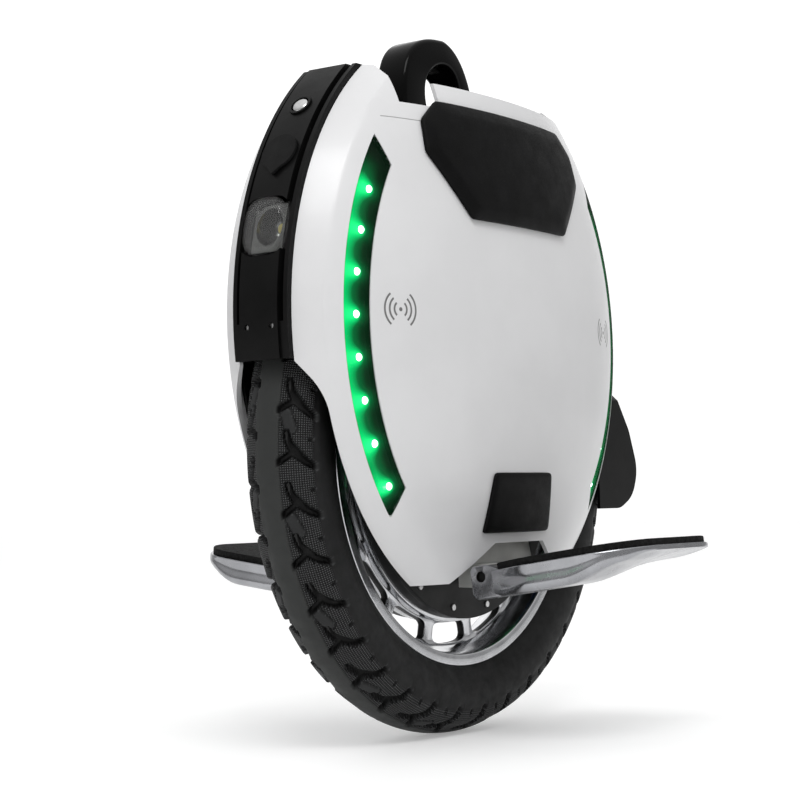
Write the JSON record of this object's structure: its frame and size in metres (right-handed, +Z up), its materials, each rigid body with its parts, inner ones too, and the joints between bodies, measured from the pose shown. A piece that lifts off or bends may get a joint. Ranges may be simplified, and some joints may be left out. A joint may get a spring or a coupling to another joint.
{
  "type": "electric unicycle",
  "caption": "Electric unicycle with a hub motor wheel between domed side shells, folding pedals, knee pads, side light bars and a lift handle on top.",
  "frame": {"origin": "on the floor under the axle, midway between the shells", "axes": "+X forward (headlight side), +Y to the rider's left along the axle, +Z up"},
  "size_m": [0.5124, 0.4392, 0.585],
  "materials": {
    "tyre": "matte black rubber with a moulded tread",
    "tube_rubber": "matte",
    "polished_alloy": "machined and polished",
    "black_metal": "satin black paint",
    "steel": "bright",
    "motor_iron": "dull",
    "white_shell": "gloss white",
    "black_plastic": "fine grained black",
    "gloss_black": "gloss black",
    "soft_black": "matte soft pad",
    "smoked_lens": "smoked clear",
    "led_board": "board with green lamps",
    "clear_lens": "clear",
    "red_lens": "clear red",
    "reflector": "bright metallised",
    "lamp_chip": "pale yellow chip",
    "button_metal": "bright",
    "socket_metal": "satin",
    "cast_alloy": "bright cast",
    "battery_wrap": "blue shrink wrap"
  },
  "bodies": {
    "body": {"axle": "steel", "axle_nuts": "steel", "left_pedal_pin": "steel", "right_pedal_pin": "steel", "panel_screws": "steel", "stator": "motor_iron", "left_shell": "white_shell", "right_shell": "white_shell", "wheel_well": "black_plastic", "front_panel": "black_plastic", "rear_panel": "black_plastic", "rear_mudguard": "black_plastic", "hand_well_floor": "black_plastic", "power_switch": "black_plastic", "speakers": "black_plastic", "power_button_ring": "black_plastic", "lift_handle": "gloss_black", "left_knee_pad": "soft_black", "right_knee_pad": "soft_black", "left_ankle_pad": "soft_black", "right_ankle_pad": "soft_black", "left_front_bar_lens": "smoked_lens", "left_rear_bar_lens": "smoked_lens", "right_front_bar_lens": "smoked_lens", "right_rear_bar_lens": "smoked_lens", "left_front_led_strip": "led_board", "left_rear_led_strip": "led_board", "right_front_led_strip": "led_board", "right_rear_led_strip": "led_board", "headlight_lens": "clear_lens", "tail_light_lens": "red_lens", "headlight_reflector": "reflector", "tail_light_reflector": "reflector", "headlight_led": "lamp_chip", "tail_light_led": "lamp_chip", "charge_socket": "socket_metal", "control_unit": "socket_metal", "left_hanger": "cast_alloy", "right_hanger": "cast_alloy", "left_battery_packs": "battery_wrap", "right_battery_packs": "battery_wrap"},
    "wheel": {"tyre": "tyre", "inner_tube": "tube_rubber", "rim": "polished_alloy", "tyre_valve": "steel", "left_motor_cover": "black_metal", "right_motor_cover": "black_metal", "cover_screws": "steel", "left_bearing": "steel", "right_bearing": "steel", "magnet_ring": "motor_iron"},
    "left_pedal": {"left_pedal": "cast_alloy", "left_grip": "soft_black"},
    "right_pedal": {"right_pedal": "cast_alloy", "right_grip": "soft_black"},
    "power_button": {"power_button": "button_metal"},
    "charge_cap": {"charge_cap": "soft_black"},
    "lift_button": {"lift_button": "soft_black"}
  },
  "joints": [
    {"name": "wheel_spin", "type": "hinge", "parent": "body", "child": "wheel", "pos_m": [0, 0, 0.233], "axis": [0, 1, 0], "continuous": true},
    {"name": "left_pedal_fold", "type": "hinge", "parent": "body", "child": "left_pedal", "pos_m": [-0.01, 0.078, 0.132], "axis": [1, 0, 0], "range_deg": [0, 65]},
    {"name": "right_pedal_fold", "type": "hinge", "parent": "body", "child": "right_pedal", "pos_m": [-0.01, -0.078, 0.132], "axis": [-1, 0, 0], "range_deg": [0, 65]},
    {"name": "power_button_press", "type": "slide", "parent": "body", "child": "power_button", "axis": [-0.7861, 0, -0.6182], "range_m": [0, 0.0012], "stiffness_N_per_m": 1500},
    {"name": "charge_cap_hinge", "type": "hinge", "parent": "body", "child": "charge_cap", "pos_m": [0.20033, 0, 0.4778], "axis": [0, -1, 0], "range_deg": [0, 110]},
    {"name": "lift_button_press", "type": "slide", "parent": "body", "child": "lift_button", "axis": [0, 0, 1], "range_m": [0, 0.002], "stiffness_N_per_m": 1500}
  ]
}
